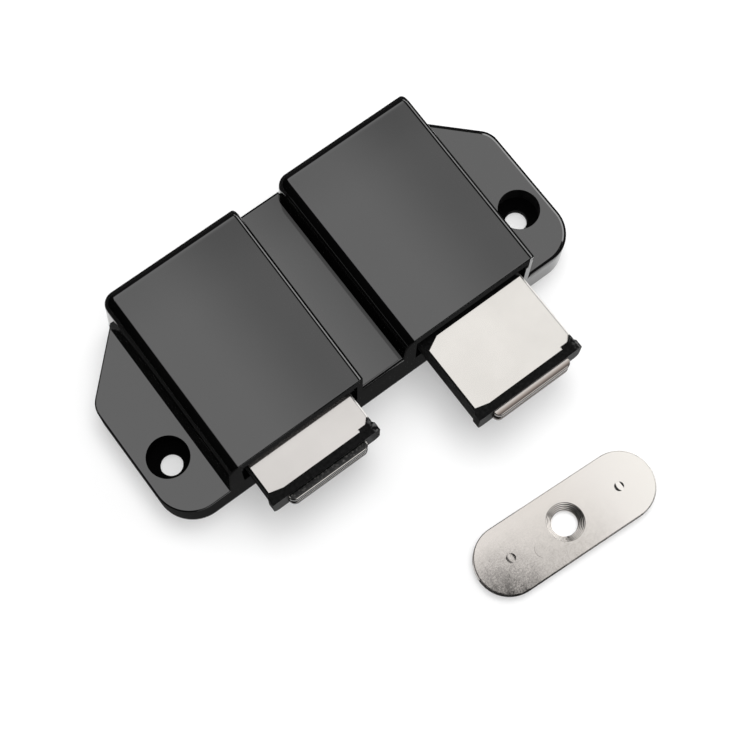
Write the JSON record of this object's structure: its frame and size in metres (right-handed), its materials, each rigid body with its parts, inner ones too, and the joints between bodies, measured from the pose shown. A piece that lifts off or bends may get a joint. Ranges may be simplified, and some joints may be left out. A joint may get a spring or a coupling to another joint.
{
  "type": "magnetic touch catch",
  "caption": "Push-to-open magnetic catch with sprung plungers in a low black housing, screw ears, and a loose countersunk strike plate.",
  "frame": {"origin": "midway between the two screw holes, on the mounting face", "axes": "+X along the catch from the left ear to the right ear, +Y back from the mouth into the cabinet, so the plungers come out towards -Y, and +Z away from the mounting face"},
  "size_m": [0.0942, 0.091, 0.019],
  "materials": {
    "housing_plastic": "polished black moulded plastic",
    "base_plastic": "plain black moulded plastic",
    "carrier_plastic": "semi-gloss black moulded plastic",
    "cover_nickel": "satin nickel plate",
    "pole_nickel": "bright nickel plate",
    "magnet_ferrite": "dark sintered ferrite",
    "spring_steel": "drawn spring wire",
    "wire_steel": "drawn steel",
    "strike_steel": "tumbled nickel plate"
  },
  "bodies": {
    "housing": {"housing": "housing_plastic", "base_plate": "base_plastic", "strike_plate": "strike_steel", "left_outer_spring": "spring_steel", "left_inner_spring": "spring_steel", "left_leaf_spring": "wire_steel", "right_outer_spring": "spring_steel", "right_inner_spring": "spring_steel", "right_leaf_spring": "wire_steel"},
    "left_plunger": {"left_carrier": "carrier_plastic", "left_cover_plate": "cover_nickel", "left_upper_pole": "pole_nickel", "left_magnet": "magnet_ferrite", "left_lower_pole": "pole_nickel"},
    "right_plunger": {"right_carrier": "carrier_plastic", "right_cover_plate": "cover_nickel", "right_upper_pole": "pole_nickel", "right_magnet": "magnet_ferrite", "right_lower_pole": "pole_nickel"},
    "left_follower": {"left_follower": "wire_steel"},
    "right_follower": {"right_follower": "wire_steel"}
  },
  "joints": [
    {"name": "left_slide", "type": "slide", "parent": "housing", "child": "left_plunger", "axis": [0, -1, 0], "range_m": [-0.0015, 0.0097], "deforming": ["left_outer_spring", "left_inner_spring"]},
    {"name": "right_slide", "type": "slide", "parent": "housing", "child": "right_plunger", "axis": [0, 1, 0], "range_m": [0, 0.0112], "stiffness_N_per_m": 250, "springref_m": -0.006, "deforming": ["right_outer_spring", "right_inner_spring"]},
    {"name": "left_follower_pivot", "type": "hinge", "parent": "housing", "child": "left_follower", "pos_m": [-0.0197, 0.023, 0.0031], "axis": [0, 0, 1], "range_deg": [-23.8, 0]},
    {"name": "right_follower_pivot", "type": "hinge", "parent": "housing", "child": "right_follower", "pos_m": [0.0197, 0.023, 0.0031], "axis": [0, 0, 1], "range_deg": [-23.8, 0]}
  ]
}
